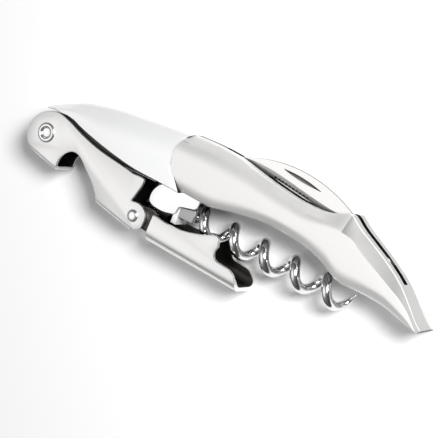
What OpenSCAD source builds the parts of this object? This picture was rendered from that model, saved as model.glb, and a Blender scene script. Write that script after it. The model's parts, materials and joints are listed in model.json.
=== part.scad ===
// Two-step lever corkscrew (waiter's friend), folded shut and lying on its side.
// X runs from the lever hinge at the head to the tail, Y points to the back of the handle,
// and Z is up, square to the side faces. The underside of the handle is the plane Z = 0.

/* [Handle] */
// Thickness of the handle across its two side faces
body_w = 12; // [11:0.1:13]
// Thickness of each steel liner inside the grip
liner_t = 1; // [0.8:0.05:1]
// Clear width between the two liners
liner_gap = 6.8; // [6.6:0.1:6.8]
// Width of the slot that the knife folds into
slot_w = 2.2; // [2:0.1:2.6]
// Width of the hinge tongue on the front bolster
tongue_w = 6.8; // [6.4:0.1:6.8]

/* [Upper lever] */
// Width of the upper lever across its two plates
upper_w = 9.6; // [9.4:0.1:9.6]
// Sheet thickness of the upper lever
upper_t = 1.1; // [1:0.05:1.1]
// Radius of the hinge rivet's shank
hinge_r = 2; // [1.6:0.1:2.2]
// Radius of the hinge rivet's rolled rim
hinge_rim_r = 2.65; // [2.4:0.05:3]

/* [Lower lever] */
// Width of the lower lever across its two plates
lower_w = 12; // [11.6:0.1:12]
// Sheet thickness of the lower lever
lower_t = 1.2; // [1:0.05:1.3]
// Width across the two hinge ears that fit inside the upper lever
ear_w = 7.2; // [7:0.1:7.2]
// Thickness of each hinge ear
ear_t = 1.05; // [0.9:0.05:1.1]
// Radius of the rivet between the two levers
joint_r = 1.2; // [1:0.05:1.3]

/* [Worm] */
// Radius from the worm's axis to the middle of its wire
coil_r = 2.95; // [2.8:0.05:3]
// Radius of the worm's wire
wire_r = 1.35; // [1.2:0.05:1.35]
// Advance of the worm in one turn
pitch = 9.7; // [9:0.1:9.8]
// Number of full turns after the wire has left the axis
turns = 4.85; // [4:0.05:4.85]
// Lean of the folded worm towards the tail
worm_lean = 0.7; // [0.4:0.1:1]

/* [Knife] */
// Thickness of the knife blade
blade_t = 1.6; // [1.2:0.1:1.8]
// Radius of the knife's pivot pin
knife_pin_r = 1.1; // [0.9:0.1:1.1]
// Number of teeth in the serrated stretch
teeth = 10; // [6:1:12]

/* [Fits] */
// Radial clearance of a pin that turns in its hole
run = 0.06; // [0.03:0.01:0.09]
// Gap between pieces that slide past each other
slide_gap = 0.1; // [0.05:0.01:0.15]

/* [Hidden] */
$fn = 64;

// Places in the side view, measured from the middle plane of the handle.
centre_y = 3.8;          // near the middle of the folded outline
hinge = [-56.9, -1.1];   // upper lever to bolster
joint = [-21.7, -9.6];   // upper lever to lower lever
worm_at = [-15.2, -3];   // worm pivot
knife_at = [46.4, 10];   // knife pivot
lower_y = -13.9;         // underside of the lower lever
worm_pin_r = 1.1;        // radius of the worm pivot pin
liner_w = liner_gap + 2 * liner_t;

// Points of a round stretch, in degrees.
function arc(c, r, a0, a1, n) = [
    for (i = [0 : n]) let (a = a0 + (a1 - a0) * i / n) c + r * [cos(a), sin(a)]
];
// A smooth curve through the given points, with n steps between neighbours.
function at(p, i) = p[min(max(i, 0), len(p) - 1)];
function blend(a, b, c, d, t) =
    0.5 * (2 * b + (c - a) * t + (2 * a - 5 * b + 4 * c - d) * t * t + (3 * b - a - 3 * c + d) * t * t * t);
function curve(p, n) = [
    for (i = [0 : len(p) - 2]) for (k = [0 : n - 1])
        blend(at(p, i - 1), p[i], p[i + 1], at(p, i + 2), k / n),
    p[len(p) - 1]
];
function back_to_front(p) = [for (i = [len(p) - 1 : -1 : 0]) p[i]];

// Outlines in the side view. Each line runs from the head towards the tail.
head_back = curve([
    [-59.7, 6.0], [-56, 8.1], [-50, 11.1], [-44, 12.8], [-34, 14.8], [-24, 16.2], [-14.8, 17.3]
], 3);
seam = curve([[-14.8, 17.3], [-16.9, 14.6], [-17.3, 10.7], [-15.6, 6.4], [-11.2, 2.2]], 4);
recess = concat(
    arc(hinge, 6.9, 112, 78, 4),
    curve([[-53.6, 5.9], [-51.5, 6.0], [-46, 4.6], [-39, 3.4], [-32, 2.5], [-26, 2.0], [-18.4, 2.1]], 2)
);
grip_back = curve([
    [-14.8, 17.3], [-7.8, 17.9], [0.4, 18.0], [7, 16.7], [14, 15.6], [21, 15.2], [28, 15.9],
    [35.2, 18.2]
], 3);
facet = curve([
    [35.2, 18.2], [39, 16.1], [43.7, 14], [49, 11.5], [54.2, 8.5], [58.3, 5.2], [61.6, 2.3], [63.9, 0.2]
], 2);
belly = curve([[-11.2, 2.2], [-3, 2.2], [4, 3.5], [12, 5.1], [21, 5.6], [30, 4.7], [38, 1.6]], 3);
chin = curve([[38, 1.6], [45, 1.5], [52, 1.3], [58, 0.4], [63.9, 0.2]], 2);
spine = arc([17.2, -18.2], 40, 112.5, 64.2, 14);

lever_top = concat(
    curve([
        [-61.8, -5.8], [-62.8, -4.2], [-63.2, -2.5], [-63, -0.4], [-62.1, 1.7], [-60.7, 3.4],
        [-58.6, 4.7],
        [-55.7, 5.5], [-53.4, 5.3], [-50.5, 4.6], [-46.2, 3.3], [-40.4, 2], [-35.2, 1.4], [-29, 0.9]
    ], 3),
    [[-26.6, 0.6], [-24.6, 0.8], [-23.3, 0.8], [-22.6, 0.4], [-22.6, -1.2], [-23.6, -4.8],
    [-24.2, -6.2], [-22.7, -6.5]],
    arc([-21.7, -9.6], 3.6, 75, -15, 4)
);
lever_heel = [[-60.7, -6.8], [-56.5, -8.3], [-50.2, -9.2]];
notch_edge = concat(
    [[-50.3, -7.2]], arc([-46.9, -5.6], 3.4, 170, 75, 6), [[-44.7, -2.6]]
);
lever_belly = curve([
    [-44.7, -2.6], [-41, -5.3], [-36.5, -9.3], [-33, -12], [-29.5, -12.5], [-21, -13.6]
], 3);
lip_web = [[-56.8, -12], [-56.8, -7.1], [-50.2, -8.1], [-50.2, -12]];
heel_web = [[-36, -16], [-36, -7.9], [-33, -10.8], [-29.5, -11.4], [-26, -11.9], [-26, -16]];

claw_top = concat(
    [[-15.5, -7.9], [-15.1, -6.3]],
    curve([[-11.5, -6.6], [-6.5, -6.3], [-0.5, -4.6], [3.4, -3.0]], 3),
    [[4.5, -3.0], [5.3, -3.8], [5.7, -5.4], [5.2, -6.9], [5.8, -8.4], [7.2, -9.0], [11.6, -9.3],
    [13, -10.8], [14.3, -12]]
);
claw_base = [[14.3, lower_y], [-15.5, lower_y]];

// Puts a shape drawn about the middle plane where the folded corkscrew lies.
module lay() {
    translate([0, -centre_y, body_w / 2]) children();
}

// A plate of the side view, w thick about the middle plane.
module slab(points, w) {
    linear_extrude(height = w, center = true) polygon(points);
}

// A pin or disc along Z, w long about the middle plane.
module pin(at, r, w) {
    translate([at[0], at[1], -w / 2]) cylinder(r = r, h = w);
}

// The same flat piece on both sides, from z0 to z1 off the middle plane.
module both_sides(z0, z1) {
    for (side = [-1, 1])
        translate([0, 0, side * (z0 + z1) / 2]) linear_extrude(height = z1 - z0, center = true) children();
}

// The handle's section seen from the end, bevelled along the back and a little at the belly.
module handle_section() {
    half = body_w / 2;
    rotate([90, 0, 90]) linear_extrude(height = 140, center = true) polygon([
        [-6, half - 3], [3, half], [13.6, half], [18.6, half - 3.6],
        [18.6, 3.6 - half], [13.6, -half], [3, -half], [-6, 3 - half]
    ]);
}

// Bevel that follows the cut-off tail: it runs out at the tip.
module tail_section() {
    half = body_w / 2;
    narrow = half - 4.6;
    translate([38.5, 12.2, 0]) rotate(-23.8) rotate([90, 0, 90]) linear_extrude(height = 200, center = true)
        polygon([[-60, half], [0, half], [9, narrow], [9, -narrow], [0, -half], [-60, -half]]);
}

// Plan of the bolster, which narrows towards the head.
module head_plan() {
    rotate([-90, 0, 0]) linear_extrude(height = 60, center = true) polygon([
        [-66, -4.3], [-50, -5], [-35, -5.8], [-22, -body_w / 2], [-5, -body_w / 2],
        [-5, body_w / 2], [-22, body_w / 2], [-35, 5.8], [-50, 5], [-66, 4.3]
    ]);
}

module bolster() {
    color("whitesmoke") lay() difference() {
        union() {
            intersection() {
                slab(concat(head_back, seam, [[-14, 2.1]], back_to_front(recess)), body_w);
                handle_section();
                head_plan();
            }
            slab(concat(
                [[-60.2, 3.2], [-58.6, 6.2], [-50, 8]], [[-20, 8], [-20, 1.2]],
                [[-32, 0.6], [-46, 1.2], [-50.5, 0.2], [-53.2, -3.4]]
            ), tongue_w);
            pin(hinge, 5.3, tongue_w);
            slab([[-19, 4.2], [-19, 15.4], [-9, 15.4], [-9, 4.6], [-12, 3.2]], liner_gap - slide_gap);
        }
        pin(hinge, hinge_r + run, body_w);
        for (p = [[-12.4, 12.6], [-11, 6.6]]) pin(p, 1, body_w);
        front_liner_pocket();
    }
}

// Room for the front end of the liners behind the seam.
module front_liner_pocket() {
    both_sides(liner_gap / 2 - 0.05, liner_w / 2 + 0.05) polygon([
        [-15.6, 14.2], [-13.6, 16.2], [-5, 16.2], [-5, -6], [-21, -6], [-21, 2.6], [-15.6, 2.6]
    ]);
}

// Side view of a liner, with the ear that carries the worm below the belly.
liner_back = [
    [-13.8, 15.6], [-3, 15.9], [8, 14.6], [14, 13.8], [27, 13.9], [35, 15.8], [45, 12.2], [54.4, 7],
    [60, 2.2]
];
liner_belly = [[52, 2.9], [44, 3.1], [38.5, 3.4], [31, 6.2], [21, 7.1], [12, 6.6], [4, 4.6], [-3.4, 3.5]];
liner_ear = [
    [-4.9, 2.8], [-4.8, 1.2], [-5, 0.5], [-5.6, -0.1], [-9.7, -1.2], [-10.1, -1.6], [-10.4, -3.4],
    [-11, -3.9], [-14, -4.6], [-16.8, -4.6], [-18.4, -4.2], [-19.2, -3.3], [-19.3, -1.4], [-18.6, 0.4],
    [-17.4, 1.8], [-15.2, 2.7]
];
liner_holes = [[-12.4, 12.6], [-11, 6.6], [1.5, 9.6], [55.4, 4.6]];

module liner() {
    difference() {
        linear_extrude(height = liner_t) polygon(concat(liner_back, liner_belly, liner_ear));
        for (p = liner_holes) translate([p[0], p[1], -1]) cylinder(r = 1, h = liner_t + 2);
        translate([worm_at[0], worm_at[1], -1]) cylinder(r = worm_pin_r, h = liner_t + 2);
        translate([knife_at[0], knife_at[1], -1]) cylinder(r = knife_pin_r, h = liner_t + 2);
    }
}

module liner_near() {
    color("gainsboro") lay() translate([0, 0, liner_gap / 2]) liner();
}

module liner_far() {
    color("gainsboro") lay() translate([0, 0, -liner_gap / 2 - liner_t]) liner();
}

module liner_rivets() {
    color("silver") lay() for (p = liner_holes) pin(p, 1, liner_w);
}

// Cast shell that slides over the liners from the tail, open along the belly.
module grip_shell() {
    color("white") lay() difference() {
        intersection() {
            slab(concat(
                grip_back, facet, back_to_front(chin), back_to_front(belly), back_to_front(seam)
            ), body_w);
            handle_section();
            tail_section();
        }
        slab(concat(
            [[-22, 15.75], [-3, 16.0], [8, 14.75], [14, 13.95], [27, 14.05], [35, 15.95], [45, 12.45],
            [54.6, 7.2]],
            [[60.3, 2.1], [52, 2.75], [44, 2.95], [38.2, 3.0], [38.2, -6], [-22, -6]]
        ), liner_w + 0.1);
        slab([[-5.6, 10], [-5.6, 25], [40, 25], [58, 12], [54.3, 8.4], [50, 4.4], [30, 8]], slot_w);
    }
}

// Solid spacer that closes the tail between the liners.
module tail_block() {
    color("gray") lay() difference() {
        slab([[51.4, 3.1], [51.4, 5.2], [53.6, 6.8], [59.2, 2.9]], liner_gap - slide_gap);
        pin([55.4, 4.6], 1, body_w);
    }
}

// Back spring: a block riveted between the liners and a tongue that presses on the knife's tang.
module knife_spring() {
    color("slategray") lay() difference() {
        union() {
            slab([
                [-3.5, 7.2], [-3.5, 12], [4.5, 12], [6, 10.4], [6, 8], [4.5, 7.2]
            ], liner_gap - slide_gap);
            slab(concat(
                curve([[5, 11.2], [18, 10.6], [30, 9.2], [40, 7.0]], 3), [[48, 6.6], [48, 5]],
                curve([[40, 5.2], [30, 7.5], [18, 8.8], [5, 8.8]], 3)
            ), 3);
        }
        pin([1.5, 9.6], 1, body_w);
    }
}

module knife_blade() {
    tang_r = 2.2;
    color("white") lay() difference() {
        union() {
            slab(concat(
                [[-4.6, 16.2]], spine, [[36, 15.9], [38.8, 12.8], [46, 12.2], [46, 7.8]],
                [[40.6, 9.4], [36.4, 13.2]], [[22, 15.5], [9.5, 16.6], [3, 16.5], [-2.6, 15.8]]
            ), blade_t);
            pin(knife_at, tang_r, blade_t);
        }
        pin(knife_at, knife_pin_r + run, body_w);
        for (i = [0 : teeth - 1]) pin([10.4 + 1.15 * i, 16.8 - 0.105 * i], 0.45, body_w);
        for (side = [-1, 1]) translate([0, 0, side * blade_t / 2]) nail_nick();
    }
}

// Shallow lens-shaped groove for opening the knife with a fingernail.
module nail_nick() {
    length = 12.4;
    bulge = 10.6;
    linear_extrude(height = 0.7, center = true) translate([18, 19.7]) rotate(-3) intersection() {
        translate([0, bulge - 0.2]) circle(r = bulge + 1);
        translate([-length / 2, -2]) square([length, 2]);
    }
}

module knife_pin() {
    color("silver") lay() pin(knife_at, knife_pin_r, liner_w);
}

module knife_spacers() {
    color("goldenrod") lay() difference() {
        both_sides(blade_t / 2 + slide_gap / 2, liner_gap / 2) translate(knife_at) circle(r = 1.4);
        pin(knife_at, knife_pin_r, body_w);
    }
}

// First-step lever: a folded channel with the cap lifter cut across it.
module upper_lever() {
    color("gainsboro") lay() difference() {
        slab(concat(
            lever_top, back_to_front(lever_belly), back_to_front(notch_edge), back_to_front(lever_heel)
        ), upper_w);
        difference() {
            slab([[-70, 12], [-70, -16], [-10, -16], [-10, 12]], upper_w - 2 * upper_t);
            slab(lip_web, upper_w);
            slab(heel_web, upper_w);
        }
        pin(hinge, hinge_r, body_w);
        pin(joint, joint_r, body_w);
    }
}

// Semi-tubular rivet with a rolled rim and a dished end.
module hinge_rivet() {
    rim_h = 0.5;
    dish_r = 1.55;
    color("whitesmoke") lay() translate([hinge[0], hinge[1], 0]) difference() {
        union() {
            cylinder(r = hinge_r, h = upper_w, center = true);
            for (side = [-1, 1]) translate([0, 0, side * (upper_w + rim_h) / 2])
                cylinder(r = hinge_rim_r, h = rim_h, center = true);
        }
        for (side = [-1, 1]) translate([0, 0, side * (upper_w / 2 + rim_h)])
            cylinder(r = dish_r, h = 1, center = true);
    }
}

module hinge_washers() {
    washer_r = 3.6;
    color("goldenrod") lay() difference() {
        both_sides(tongue_w / 2 + 0.02, upper_w / 2 - upper_t - 0.02) translate(hinge) circle(r = washer_r);
        pin(hinge, hinge_r, body_w);
    }
}

// Second-step lever: a folded channel ending in the claw, with two ears inside the upper lever.
module lower_lever() {
    inner_w = lower_w - 2 * lower_t;
    color("gainsboro") lay() difference() {
        union() {
            intersection() {
                difference() {
                    slab(concat(claw_top, claw_base), lower_w);
                    slab([
                        [-14.3, 0], [-14.3, lower_y + lower_t], [20, lower_y + lower_t], [20, 0]
                    ], inner_w);
                }
                channel_section();
            }
            both_sides(ear_w / 2 - ear_t, ear_w / 2) {
                polygon([
                    [-23.2, -7.6], [-22.6, -6.6], [-19.6, -6.0], [-17.6, -5.8], [-14.4, -6.8],
                    [-14.4, -12.3], [-21.7, -12.1]
                ]);
                translate(joint) circle(r = 2.5);
            }
        }
        slab([[-30, 0], [-30, -20], [-14.2, -20], [-14.2, 0]], ear_w - 2 * ear_t);
        pin(joint, joint_r + run, body_w);
    }
}

// Rounded section of the lower lever, seen from the end.
module channel_section() {
    bend = 3.2;
    half = lower_w / 2;
    rotate([90, 0, 90]) linear_extrude(height = 80, center = true) polygon(concat(
        arc([lower_y + bend, half - bend], bend, 180, 90, 8), [[0, half], [0, -half]],
        arc([lower_y + bend, bend - half], bend, 270, 180, 8)
    ));
}

module joint_rivet() {
    head_h = 0.6;
    color("whitesmoke") lay() translate([joint[0], joint[1], 0]) {
        cylinder(r = joint_r, h = upper_w, center = true);
        for (side = [0, 180]) rotate([side, 0, 0]) translate([0, 0, upper_w / 2]) {
            cylinder(r1 = 1.75, r2 = 1.35, h = head_h);
        }
    }
}

module joint_bush() {
    color("goldenrod") lay() difference() {
        pin(joint, 1.7, ear_w - 2 * ear_t - slide_gap);
        pin(joint, joint_r + run, body_w);
    }
}

// A round wire swept along centre points, closed at both ends.
// Each ring starts towards its own side direction.
module wire(path, side, radii, facets) {
    last = len(path) - 1;
    function unit(v) = v / norm(v);
    function ahead(i) = unit(path[min(i + 1, last)] - path[max(i - 1, 0)]);
    function ring(i) =
        let (t = ahead(i), u = unit(side[i] - (side[i] * t) * t), v = cross(t, u))
        [for (k = [0 : facets - 1]) let (a = 360 * k / facets)
            path[i] + radii[i] * (cos(a) * u + sin(a) * v)];
    polyhedron(
        points = [for (i = [0 : last]) each ring(i)],
        faces = concat(
            [[for (k = [facets - 1 : -1 : 0]) k]],
            [for (i = [0 : last - 1]) for (k = [0 : facets - 1])
                let (a = i * facets + k, b = i * facets + (k + 1) % facets)
                each [[a, b, b + facets], [a, b + facets, a + facets]]],
            [[for (k = [0 : facets - 1]) last * facets + k]]
        )
    );
}

// Torsion spring on the bush: one leg lies along the upper lever and one along the lower lever.
module joint_spring() {
    coils = 3;
    wind_r = 2.05;
    steps = 16 * coils;
    angles = [for (i = [0 : steps]) 270 + 360 * coils * i / steps];
    end_z = 1.2;
    spring_wire_r = 0.28;
    coil = [for (i = [0 : steps])
        [wind_r * cos(angles[i]), wind_r * sin(angles[i]), end_z * (2 * i / steps - 1)]];
    down = [0, -1, 0];
    path = concat(
        [[-4.2, -wind_r, -end_z], [-1, -wind_r, -end_z]], coil, [[1, -wind_r, end_z],
        [4.4, -wind_r, end_z]]
    );
    side = concat([down, down], [for (a = angles) [cos(a), sin(a), 0]], [down, down]);
    radii = [for (p = path) spring_wire_r];
    color("dimgray") lay() translate([joint[0], joint[1], 0]) wire(path, side, radii, 8);
}

// Worm: a shank on the axis, half a turn that leaves the axis, then the coil, ground to a point.
module worm() {
    shank_end = 6.1;
    steps = 22;
    half = steps / 2;
    leave = [for (i = [1 : half]) 180 * i / half - 180];
    wind = [for (i = [1 : steps * turns]) 360 * i / steps];
    path = concat(
        [[3.4, 0, 0], [shank_end - 1.5, 0, 0], [shank_end, 0, 0]],
        [for (i = [1 : half]) let (a = leave[i - 1], r = coil_r * (1 - cos(180 * i / half)) / 2)
            [shank_end + pitch / 2 * i / half, r * cos(a), r * sin(a)]],
        [for (a = wind) [shank_end + pitch / 2 + pitch * a / 360, coil_r * cos(a), coil_r * sin(a)]]
    );
    side = concat(
        [for (i = [0 : 2]) [0, -1, 0]], [for (a = leave) [0, cos(a), sin(a)]],
        [for (a = wind) [0, cos(a), sin(a)]]
    );
    last = len(path) - 1;
    radii = [for (i = [0 : last]) wire_r * min(1, 0.16 + 2.2 * (last - i) / steps)];
    color("silver") lay() translate([worm_at[0], worm_at[1], 0]) rotate(worm_lean)
        wire(path, side, radii, 12);
}

// Knuckle that turns on the worm pin and holds the shank.
module worm_hub() {
    hub_w = 5.9;
    color("silver") lay() translate([worm_at[0], worm_at[1], 0]) difference() {
        union() {
            cylinder(r = 1.9, h = hub_w, center = true);
            rotate(worm_lean) rotate([0, 90, 0]) cylinder(r = 2.1, h = 5.6);
        }
        cylinder(r = worm_pin_r + run, h = body_w, center = true);
        rotate(worm_lean) translate([3.4, 0, 0]) rotate([0, 90, 0]) cylinder(r = wire_r, h = 6);
    }
}

// Square flange round the knuckle's boss, with a flat cheek beside the first turn of the worm.
module worm_collar() {
    collar_t = 1.6;
    half_w = 3.1;
    cheek_t = 1.4;
    color("white") lay() translate([worm_at[0], worm_at[1], 0]) rotate(worm_lean) difference() {
        union() {
            translate([3.7, -3.5, -half_w]) cube([collar_t, 7, 2 * half_w]);
            translate([0, 0, half_w - cheek_t]) linear_extrude(height = cheek_t)
                polygon([[4.5, -1.3], [4.5, 1.3], [9.8, 2.4], [9.8, -1.1]]);
        }
        rotate([0, 90, 0]) cylinder(r = 2.1, h = 10);
    }
}

module worm_pin() {
    color("silver") lay() pin(worm_at, worm_pin_r, liner_w);
}

module worm_washers() {
    color("silver") lay() difference() {
        both_sides(2.98, liner_gap / 2) translate(worm_at) circle(r = 1.5);
        pin(worm_at, worm_pin_r, body_w);
    }
}

bolster();
grip_shell();
liner_near();
liner_far();
liner_rivets();
tail_block();
knife_spring();
knife_blade();
knife_pin();
knife_spacers();
upper_lever();
hinge_rivet();
hinge_washers();
lower_lever();
joint_rivet();
joint_bush();
joint_spring();
worm();
worm_hub();
worm_collar();
worm_pin();
worm_washers();
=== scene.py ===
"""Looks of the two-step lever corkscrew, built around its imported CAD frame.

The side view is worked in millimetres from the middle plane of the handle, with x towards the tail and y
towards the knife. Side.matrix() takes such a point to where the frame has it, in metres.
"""

import json
import logging
import math
from collections.abc import Callable, Sequence
from dataclasses import dataclass, field
from enum import Enum

import bmesh
import bpy
from bmesh.types import BMesh, BMEdge, BMFace, BMVert
from mathutils import Matrix, Vector


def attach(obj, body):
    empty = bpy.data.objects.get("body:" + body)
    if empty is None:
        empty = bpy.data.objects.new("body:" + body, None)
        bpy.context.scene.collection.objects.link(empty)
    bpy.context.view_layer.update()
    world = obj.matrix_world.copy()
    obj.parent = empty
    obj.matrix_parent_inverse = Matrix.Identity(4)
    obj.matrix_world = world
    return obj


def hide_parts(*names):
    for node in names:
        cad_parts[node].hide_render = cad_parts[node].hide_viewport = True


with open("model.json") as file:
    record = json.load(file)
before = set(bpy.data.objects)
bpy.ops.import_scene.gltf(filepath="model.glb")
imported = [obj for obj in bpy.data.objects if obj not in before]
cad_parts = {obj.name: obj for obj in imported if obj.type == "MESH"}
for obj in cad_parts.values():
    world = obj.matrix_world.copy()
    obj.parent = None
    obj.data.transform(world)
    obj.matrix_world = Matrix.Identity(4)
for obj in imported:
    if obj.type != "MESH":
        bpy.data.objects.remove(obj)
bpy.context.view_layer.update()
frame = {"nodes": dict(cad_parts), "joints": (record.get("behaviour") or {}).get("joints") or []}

log = logging.getLogger("corkscrew")
Point = tuple[float, float]
Triple = tuple[float, float, float]
MM = 0.001
TOUCH = 0.02    # two depths this close, in millimetres, count as one
SQUARE = 0.99   # share of a normal that points along an axis when its face is square to it
ACROSS = 7.0    # half the length of a tool that has to pass right through


class Body(Enum):
    """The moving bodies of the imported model."""

    HANDLE = "handle"
    UPPER = "upper"
    LOWER = "lower"
    SCREW = "screw"
    KNIFE = "knife"


class Slot(Enum):
    """The record's material slots that the visible pieces take."""

    SATIN = "satin_casting"
    BRUSHED = "brushed_casting"
    POLISHED = "polished_steel"
    LEVER = "lever_steel"
    RIVET = "rivet_steel"
    BLADE = "blade_steel"
    WIRE = "chromed_wire"


class Combining(Enum):
    """What a second mesh does to a piece."""

    WELD = "UNION"
    CUT = "DIFFERENCE"


# ---------------------------------------------------------------- shader graph


class Value:
    """A number in a node tree, so that shader maths reads as Python."""

    def __init__(self, graph: "Graph", socket: bpy.types.NodeSocket) -> None:
        """Keeps the tree and the socket that gives the number."""
        self.graph = graph
        self.socket = socket

    def _maths(self, operation: str, first: "Value | float", second: "Value | float") -> "Value":
        """Adds one Math node."""
        return self.graph.node("ShaderNodeMath", {"operation": operation}, {0: first, 1: second}).value()

    def __add__(self, other: "Value | float") -> "Value":
        """Sum."""
        return self._maths("ADD", self, other)

    def __radd__(self, other: float) -> "Value":
        """Reflected sum."""
        return self._maths("ADD", other, self)

    def __sub__(self, other: "Value | float") -> "Value":
        """Difference."""
        return self._maths("SUBTRACT", self, other)

    def __rsub__(self, other: float) -> "Value":
        """Reflected difference."""
        return self._maths("SUBTRACT", other, self)

    def __mul__(self, other: "Value | float") -> "Value":
        """Product."""
        return self._maths("MULTIPLY", self, other)

    def __rmul__(self, other: float) -> "Value":
        """Reflected product."""
        return self._maths("MULTIPLY", other, self)

    def clamped(self) -> "Value":
        """The value held between 0 and 1."""
        return self.graph.node("ShaderNodeClamp", {}, {"Value": self}).value()


class Node:
    """A node that has been added to a tree."""

    def __init__(self, graph: "Graph", node: bpy.types.Node) -> None:
        """Keeps the tree and the node."""
        self.graph = graph
        self.node = node

    def out(self, name: str | int = 0) -> bpy.types.NodeSocket:
        """One of the node's outputs."""
        return self.node.outputs[name]

    def value(self, name: str | int = 0) -> Value:
        """One of the node's outputs as a number to calculate with."""
        return Value(self.graph, self.node.outputs[name])


class Graph:
    """A node tree, emptied and then built up one node at a time."""

    def __init__(self, tree: bpy.types.NodeTree) -> None:
        """Empties the tree."""
        self.tree = tree
        self.tree.nodes.clear()

    def node(self, kind: str, settings: dict | None = None, inputs: dict | None = None) -> Node:
        """Adds a node.

        Args:
            kind: The node's type.
            settings: Its own properties, set before its sockets. A ramp's stops are under "stops".
            inputs: Values or links for its input sockets.

        Returns:
            The new node.
        """
        made = self.tree.nodes.new(kind)
        for key, setting in (settings or {}).items():
            if key == "stops":
                self._set_stops(made.color_ramp, setting)
            else:
                setattr(made, key, setting)
        for key, given in (inputs or {}).items():
            self.feed(made.inputs[key], given)
        return Node(self, made)

    @staticmethod
    def _set_stops(ramp: bpy.types.ColorRamp, stops: Sequence[Point]) -> None:
        """Gives a ramp its greys.

        Args:
            ramp: The ramp.
            stops: The position and the level of each grey.
        """
        while len(ramp.elements) < len(stops):
            ramp.elements.new(0.5)
        for element, (position, level) in zip(ramp.elements, stops):
            element.position = position
            element.color = (level, level, level, 1)

    def feed(self, socket: bpy.types.NodeSocket, given: object) -> None:
        """Links or sets one input socket.

        Args:
            socket: The socket.
            given: A Value, an output socket, or the socket's own new value.
        """
        if isinstance(given, Value):
            self.tree.links.new(given.socket, socket)
        elif isinstance(given, bpy.types.NodeSocket):
            self.tree.links.new(given, socket)
        elif isinstance(given, tuple) and socket.type == "RGBA" and len(given) == 3:
            socket.default_value = (*given, 1)
        else:
            socket.default_value = given


class Surface(Graph):
    """A material's node tree, with its shader."""

    def __init__(self, name: str) -> None:
        """Starts a material.

        Args:
            name: The material's name.
        """
        self.material = bpy.data.materials.new(name)
        self.material.use_nodes = True
        super().__init__(self.material.node_tree)
        self.shader = self.node("ShaderNodeBsdfPrincipled")
        self.node("ShaderNodeOutputMaterial", {}, {"Surface": self.shader.out("BSDF")})

    def set(self, name: str, given: object) -> None:
        """Feeds a socket of the shader."""
        self.feed(self.shader.node.inputs[name], given)

    def noise(self, scale: Triple, detail: float, turn: float = 0.0) -> Value:
        """Noise on the piece's own coordinates.

        Args:
            scale: How fine it is along each axis, so that it can run along a piece.
            detail: How many finer layers it has.
            turn: How far it is turned about Z, in radians.

        Returns:
            The noise, from 0 to 1.
        """
        coords = self.node("ShaderNodeTexCoord").out("Object")
        placing = {"Vector": coords, "Scale": scale, "Rotation": (0, 0, turn)}
        where = self.node("ShaderNodeMapping", {}, placing).out("Vector")
        pattern = {"Vector": where, "Scale": 1.0, "Detail": detail}
        return self.node("ShaderNodeTexNoise", {}, pattern).value("Fac")

    def blend(self, mask: Value, low: Triple, high: Triple) -> bpy.types.NodeSocket:
        """Colour that goes from low to high as mask goes from 0 to 1."""
        return self.node("ShaderNodeMix", {"data_type": "RGBA"}, {0: mask, 6: low, 7: high}).out(2)

    def bump(self, height: Value, depth: float) -> None:
        """Raises the surface by a height pattern, depth metres at most."""
        made = self.node("ShaderNodeBump", {}, {"Height": height, "Distance": depth, "Strength": 1.0})
        self.set("Normal", made.out("Normal"))


# ---------------------------------------------------------------- finishes


@dataclass(frozen=True)
class Metal:
    """A metal finish: its colours, how rough it is, and the lines left by the belt or the wheel."""

    name: str
    light: Triple
    dark: Triple
    roughness: float
    spread: float
    grain: Triple
    turn: float = 0.0
    depth: float = 0.0
    cloud: float = 140.0
    metallic: float = 1.0

    def make(self) -> bpy.types.Material:
        """Builds the material.

        Returns:
            The finished material.
        """
        graph = Surface(self.name)
        lines = graph.noise(self.grain, 2.0, self.turn)
        clouds = graph.noise((self.cloud,) * 3, 4.0)
        graph.set("Base Color", graph.blend((0.5 * lines + 0.5 * clouds).clamped(), self.dark, self.light))
        graph.set("Metallic", self.metallic)
        unevenness = self.spread * (lines - 0.5) + 0.5 * self.spread * (clouds - 0.5)
        graph.set("Roughness", self.roughness + unevenness)
        if self.depth:
            graph.bump(lines, self.depth)
        return graph.material


def grey(level: float, warmth: float = 0.0) -> Triple:
    """A grey, made warmer or cooler."""
    return (level + warmth, level, level - warmth)


SATIN = Metal("satin_casting", grey(0.96, -0.003), grey(0.93, -0.003), 0.5, 0.05, (1600,) * 3, metallic=0.4)
BRUSHED = Metal(
    "brushed_casting", grey(0.93, 0.008), grey(0.85, 0.008), 0.46, 0.14, (260, 7000, 7000), 0.03, 2e-6,
    metallic=0.65,
)
# Painted shade: a darker grey for the tail's facet and the band beside it, standing in for the shade they
# fall in.
SHADED_FACET = Metal(
    "tail_facet_painted_shade", grey(0.5, 0.004), grey(0.42, 0.004), 0.45, 0.14, (9000, 9000, 300), 0, 2e-6, metallic=0.7,
)
LEVER = Metal(
    "lever_steel", grey(0.97, 0.008), grey(0.92, 0.008), 0.42, 0.08, (500, 6000, 6000), -0.15, 1e-6,
)
POLISHED = Metal("polished_steel", grey(0.9, 0.0), grey(0.84, 0.0), 0.1, 0.05, (900, 5000, 5000), 0)
# Painted shade: near-black, laid on inner faces, recesses, opening walls, tooth notches and seam ends where
# shade falls.
SHADE_BLACK = Metal("painted_shade_black", grey(0.09, 0.004), grey(0.035, 0.002), 0.35, 0.1, (500, 6000, 6000), -0.15)
KNUCKLE = Metal("knuckle_steel", grey(0.5, 0.003), grey(0.42, 0.003), 0.4, 0.08, (2500, 2500, 2500))
RIVET = Metal("rivet_steel", grey(0.93, 0.0), grey(0.87, 0.0), 0.24, 0.08, (2500, 2500, 2500), 0)
CHROME = Metal("chromed_wire", grey(0.84, 0.004), grey(0.76, 0.004), 0.15, 0.03, (1500, 1500, 1500), 0)
BLADE = Metal("blade_steel", grey(0.86, 0.012), grey(0.8, 0.012), 0.2, 0.1, (300, 9000, 9000), -0.05, 1e-6)
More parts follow.
